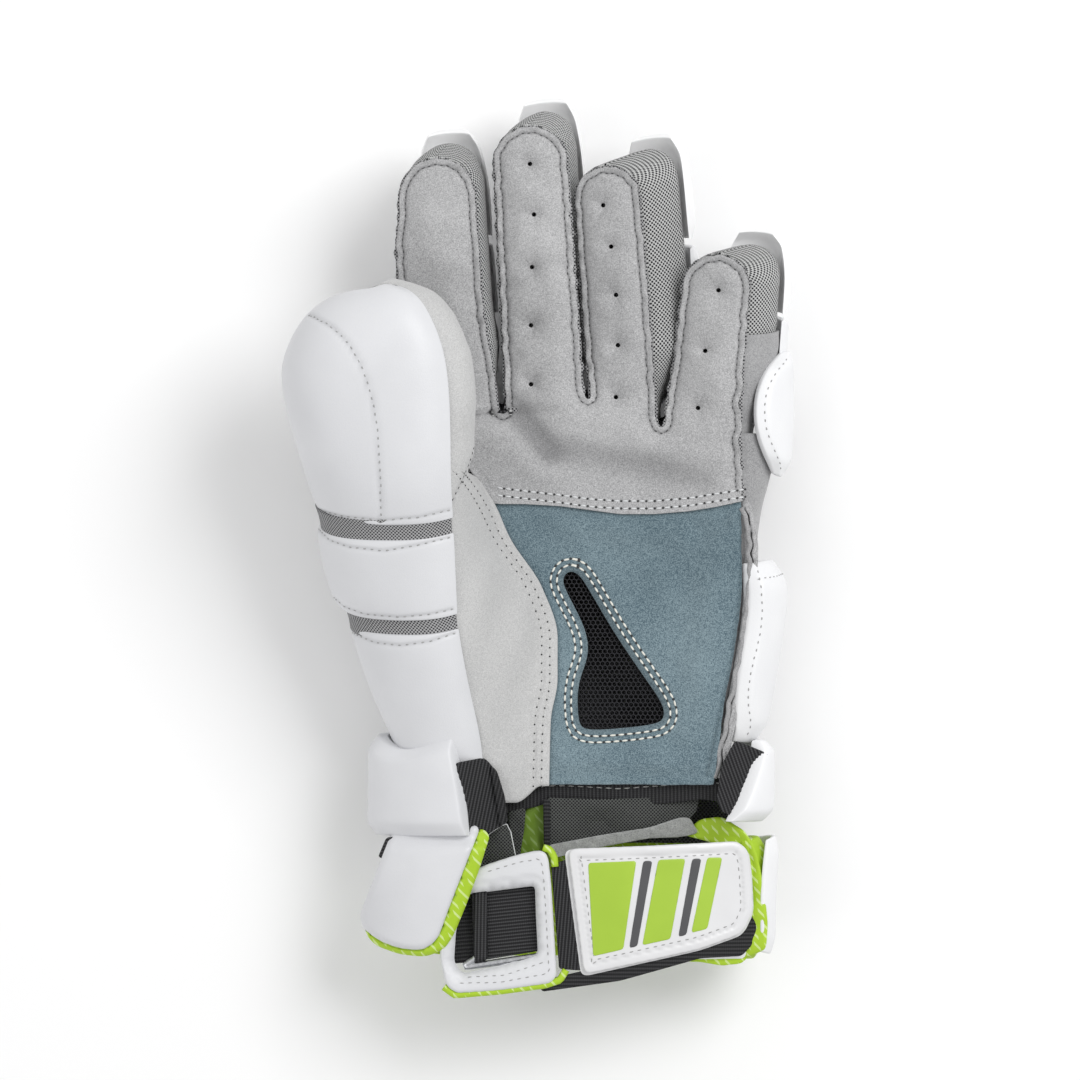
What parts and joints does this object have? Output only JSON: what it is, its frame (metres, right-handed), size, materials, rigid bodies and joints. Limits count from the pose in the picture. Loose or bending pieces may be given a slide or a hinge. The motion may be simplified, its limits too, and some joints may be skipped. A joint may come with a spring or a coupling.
{
  "type": "lacrosse glove",
  "caption": "Padded left-hand lacrosse glove with suede palm, mesh finger gussets, segmented foam pads and a strapped cuff.",
  "frame": {"origin": "centre of the glove's footprint, on the floor it lies on with its padded back down", "axes": "+Y towards the fingertips, +X towards the little finger, +Z out of the palm"},
  "size_m": [0.1932, 0.3292, 0.0935],
  "materials": {
    "white_leather": "smooth white synthetic leather",
    "grey_suede": "light grey suede",
    "blue_suede": "blue-grey suede",
    "knit": "grey knit mesh",
    "black_mesh": "black spacer mesh",
    "black_tape": "black ribbed tape",
    "lime_cloth": "printed lime cloth",
    "lime_rubber": "satin lime",
    "white_rubber": "satin white",
    "steel": "polished"
  },
  "bodies": {
    "root": {"anchor_webbing": "black_tape", "back_pad_inner": "white_leather", "back_pad_lower": "white_leather", "back_pad_outer": "white_leather", "closure_strap": "black_tape", "closure_tab": "white_rubber", "cuff_flap_back": "white_leather", "cuff_flap_left": "white_leather", "cuff_flap_right": "white_leather", "cuff_lining_back": "lime_cloth", "cuff_lining_left": "lime_cloth", "cuff_lining_right": "lime_cloth", "elastic_tab_left": "black_tape", "elastic_tab_right": "black_tape", "hand_backing": "knit", "index_base_pad": "white_leather", "index_gusset": "knit", "index_middle_pad": "white_leather", "index_tip_pad": "white_leather", "knuckle_pad_inner": "white_leather", "knuckle_pad_middle": "white_leather", "knuckle_pad_outer": "white_leather", "little_base_pad": "white_leather", "little_gusset": "knit", "little_middle_pad": "white_leather", "little_tip_pad": "white_leather", "middle_base_pad": "white_leather", "middle_gusset": "knit", "middle_middle_pad": "white_leather", "middle_tip_pad": "white_leather", "palm_binding": "black_tape", "palm_heel_panel": "blue_suede", "palm_panel": "grey_suede", "radial_side_panel": "grey_suede", "ring_base_pad": "white_leather", "ring_gusset": "knit", "ring_middle_pad": "white_leather", "ring_tip_pad": "white_leather", "side_pad_lower": "white_leather", "side_pad_upper": "white_leather", "strap_anchor": "white_leather", "strap_elastic": "black_tape", "strap_loop": "steel", "tab_inlay_middle": "lime_rubber", "tab_inlay_narrow": "lime_rubber", "tab_inlay_wide": "lime_rubber", "thumb_backing": "knit", "thumb_base_pad": "white_leather", "thumb_middle_pad": "white_leather", "thumb_palm_panel": "grey_suede", "thumb_tip_pad": "white_leather", "ulnar_side_panel": "grey_suede", "vent_mesh": "black_mesh", "wrist_lining": "black_mesh", "wrist_roll_back": "white_leather", "wrist_roll_left": "white_leather", "wrist_roll_right": "white_leather"}
  },
  "joints": []
}
